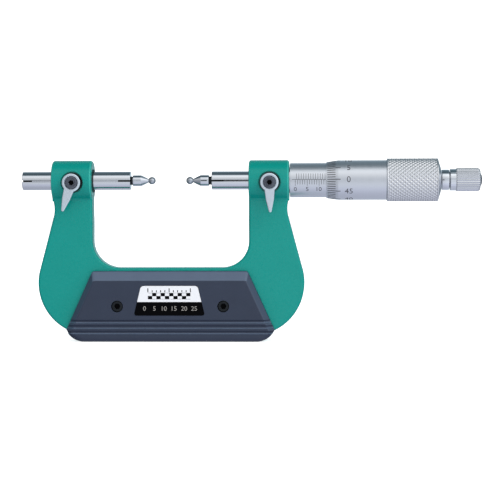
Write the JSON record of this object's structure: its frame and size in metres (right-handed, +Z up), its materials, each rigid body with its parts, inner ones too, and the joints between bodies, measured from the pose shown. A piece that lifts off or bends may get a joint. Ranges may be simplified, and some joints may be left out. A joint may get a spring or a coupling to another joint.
{
  "type": "gear tooth micrometer",
  "caption": "Green U-frame gear tooth micrometer with interchangeable ball tips, clamp levers on anvil and spindle, graduated thimble and ratchet stop.",
  "frame": {"origin": "on the frame's flat bottom, midway between the two arms and midway through the frame's thickness", "axes": "+X along the spindle from the anvil towards the thimble, +Y from the front with the levers and label to the back, +Z up from the flat bottom to the measuring axis"},
  "size_m": [0.1954, 0.0201, 0.0773],
  "materials": {
    "green_lacquer": "smooth satin lacquer",
    "slate_plastic": "fine matt insulating plastic",
    "label_print": "printed white and black plate",
    "blackened_steel": "blackened",
    "ground_steel": "ground and lapped",
    "satin_chrome": "satin chrome plating",
    "hard_ball": "polished",
    "brass": "turned",
    "spring_steel": "drawn wire and ground ring"
  },
  "bodies": {
    "frame_body": {"frame": "green_lacquer", "front_grip_plate": "slate_plastic", "rear_grip_plate": "slate_plastic", "front_screw_left": "blackened_steel", "front_screw_right": "blackened_steel", "rear_screw_left": "blackened_steel", "rear_screw_right": "blackened_steel", "label_plate": "label_print", "spindle_guide": "ground_steel", "adjusting_nut": "brass", "scale_sleeve": "satin_chrome", "anvil_clamp_pad": "brass", "spindle_clamp_pad": "brass"},
    "anvil": {"anvil_rod": "ground_steel", "anvil_tip_holder": "ground_steel", "anvil_ball": "hard_ball"},
    "anvil_lock": {"anvil_clamp_stud": "ground_steel", "anvil_lock_lever": "ground_steel", "anvil_lever_screw": "blackened_steel"},
    "spindle_lock": {"spindle_clamp_stud": "ground_steel", "spindle_lock_lever": "ground_steel", "spindle_lever_screw": "blackened_steel"},
    "spindle_tip": {"spindle_tip_holder": "ground_steel", "spindle_ball": "hard_ball"},
    "spindle_head": {"spindle": "ground_steel", "thimble": "satin_chrome", "ratchet_arbor": "satin_chrome", "ratchet_end_screw": "ground_steel"},
    "ratchet": {"ratchet_click_ring": "spring_steel", "ratchet_spring": "spring_steel", "ratchet_knob": "satin_chrome"}
  },
  "joints": [
    {"name": "anvil_adjust", "type": "slide", "parent": "frame_body", "child": "anvil", "axis": [1, 0, 0], "range_m": [-0.005, 0]},
    {"name": "anvil_clamp_turn", "type": "hinge", "parent": "frame_body", "child": "anvil_lock", "pos_m": [-0.0413, 0, 0.0676], "axis": [0, 1, 0], "range_deg": [-80, 0]},
    {"name": "spindle_clamp_turn", "type": "hinge", "parent": "frame_body", "child": "spindle_lock", "pos_m": [0.0422, 0, 0.0676], "axis": [0, 1, 0], "range_deg": [-80, 0]},
    {"name": "spindle_travel", "type": "slide", "parent": "frame_body", "child": "spindle_tip", "axis": [1, 0, 0], "range_m": [-0.01297, 0.012]},
    {"name": "thimble_turn", "type": "hinge", "parent": "spindle_tip", "child": "spindle_head", "pos_m": [0, 0, 0.0682], "axis": [1, 0, 0], "range_deg": [-9342, 8642]},
    {"name": "ratchet_turn", "type": "hinge", "parent": "spindle_head", "child": "ratchet", "pos_m": [0.125, 0, 0.0682], "axis": [1, 0, 0], "continuous": true}
  ],
  "couplings": [
    {"joint": "thimble_turn", "follows": "spindle_travel", "rad_per_m": 12566}
  ]
}
